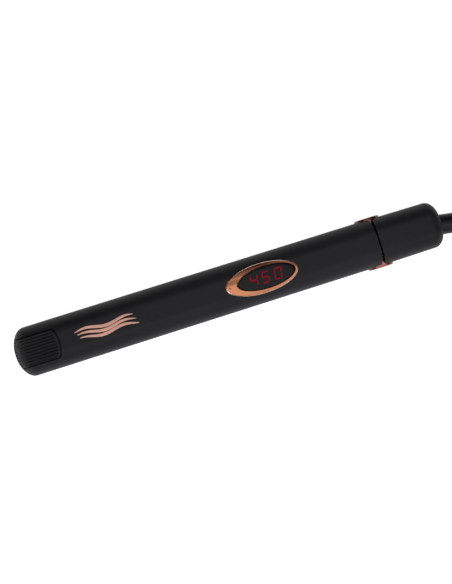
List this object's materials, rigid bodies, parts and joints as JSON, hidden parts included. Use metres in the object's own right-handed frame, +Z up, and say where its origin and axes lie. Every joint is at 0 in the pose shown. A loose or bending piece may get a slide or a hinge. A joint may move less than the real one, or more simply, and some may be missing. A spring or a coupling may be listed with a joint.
{
  "type": "hair straightening iron",
  "caption": "Slim hair iron with two sprung arms, floating plates, an oval temperature display, swivel cord and plug, lying open on its lower arm.",
  "frame": {"origin": "on the surface the iron lies on, under the middle of the iron's length without its free cord", "axes": "+X from the tips towards the cord end, +Z up from the surface to the upper arm, +Y across the iron"},
  "size_m": [0.5152, 0.0557, 0.0754],
  "materials": {
    "soft_touch": "matt soft-touch coating",
    "pad_plastic": "matt, ribbed",
    "inner_plastic": "moulded, matt",
    "button_plastic": "fine matt texture",
    "rose_gold": "rose-gold plated, bright satin",
    "dark_lens": "polished smoked window",
    "plate_coating": "titanium-grey ceramic coating, smooth",
    "heater_ceramic": "fired white ceramic",
    "circuit": "green solder mask",
    "steel": "zinc plated",
    "spring_steel": "oiled spring wire",
    "bush_brass": "turned",
    "plug_brass": "nickel plated, bright",
    "silicone": "red-brown silicone",
    "sleeving": "woven glass-fibre sleeving",
    "cord_rubber": "matt black jacket",
    "tie_fabric": "woven hook-and-loop strap"
  },
  "bodies": {
    "lower_arm": {"lower_housing": "soft_touch", "lower_handle_cover": "soft_touch", "lower_tip_pad": "pad_plastic", "lower_plate_carrier": "inner_plastic", "lower_hinge_bracket": "steel", "lower_screw_1": "steel", "lower_screw_2": "steel", "lower_screw_3": "steel", "lower_cushion_front": "silicone", "lower_cushion_rear": "silicone", "lower_heater_lead_left": "sleeving", "lower_heater_lead_right": "sleeving", "power_board": "circuit", "thermal_fuse": "heater_ceramic", "stop_bumper": "cord_rubber", "hinge_pin": "steel", "hinge_bush_left": "bush_brass", "hinge_bush_right": "bush_brass", "hinge_spring": "spring_steel", "hinge_cap_left": "rose_gold", "hinge_cap_right": "rose_gold", "rear_cap": "soft_touch", "rear_cap_screw_1": "steel", "rear_cap_screw_2": "steel", "swivel_socket": "inner_plastic", "mains_sleeve": "sleeving", "hinge_sleeve": "sleeving", "cord": "cord_rubber", "cord_tail": "cord_rubber", "cord_hank": "cord_rubber", "cord_tie": "tie_fabric", "plug_body": "cord_rubber", "plug_blade_left": "plug_brass", "plug_blade_right": "plug_brass"},
    "upper_arm": {"upper_housing": "soft_touch", "upper_handle_cover": "soft_touch", "upper_tip_pad": "pad_plastic", "upper_plate_carrier": "inner_plastic", "upper_hinge_bracket": "steel", "upper_screw_1": "steel", "upper_screw_2": "steel", "upper_screw_3": "steel", "upper_cushion_front": "silicone", "upper_cushion_rear": "silicone", "upper_heater_lead_left": "sleeving", "upper_heater_lead_right": "sleeving", "display_bezel": "rose_gold", "display_lens": "dark_lens", "display_module": "inner_plastic", "control_board": "circuit", "supply_sleeve": "sleeving"},
    "upper_plate": {"upper_plate": "plate_coating", "upper_heater": "heater_ceramic"},
    "lower_plate": {"lower_plate": "plate_coating", "lower_heater": "heater_ceramic"},
    "power_button": {"power_button": "button_plastic"},
    "plus_button": {"plus_button": "button_plastic"},
    "minus_button": {"minus_button": "button_plastic"},
    "cord_swivel": {"swivel_ball": "inner_plastic", "strain_relief": "cord_rubber"}
  },
  "joints": [
    {"name": "arm_hinge", "type": "hinge", "parent": "lower_arm", "child": "upper_arm", "pos_m": [0.1005, 0, 0.0175], "axis": [0, 1, 0], "range_deg": [-10, 0], "stiffness_Nm_per_rad": 0.5, "springref_deg": 34.38},
    {"name": "upper_plate_float", "type": "slide", "parent": "upper_arm", "child": "upper_plate", "axis": [0.1736, 0, 0.9848], "range_m": [0, 0.001], "stiffness_N_per_m": 4000, "springref_m": -0.0005, "deforming": ["upper_cushion_front", "upper_cushion_rear"]},
    {"name": "lower_plate_float", "type": "slide", "parent": "lower_arm", "child": "lower_plate", "axis": [0, 0, -1], "range_m": [0, 0.001], "stiffness_N_per_m": 4000, "springref_m": -0.0005, "deforming": ["lower_cushion_front", "lower_cushion_rear"]},
    {"name": "cord_swivel", "type": "hinge", "parent": "lower_arm", "child": "cord_swivel", "pos_m": [0.1355, 0, 0.0175], "axis": [0.9708, -0.1451, -0.1908], "continuous": true},
    {"name": "power_button_press", "type": "slide", "parent": "upper_arm", "child": "power_button", "axis": [0.1736, 0, 0.9848], "range_m": [0, 0.0007], "stiffness_N_per_m": 1500, "springref_m": -0.0004},
    {"name": "plus_button_press", "type": "slide", "parent": "upper_arm", "child": "plus_button", "axis": [0.1736, 0, 0.9848], "range_m": [0, 0.0007], "stiffness_N_per_m": 1500, "springref_m": -0.0004},
    {"name": "minus_button_press", "type": "slide", "parent": "upper_arm", "child": "minus_button", "axis": [0.1736, 0, 0.9848], "range_m": [0, 0.0007], "stiffness_N_per_m": 1500, "springref_m": -0.0004}
  ]
}
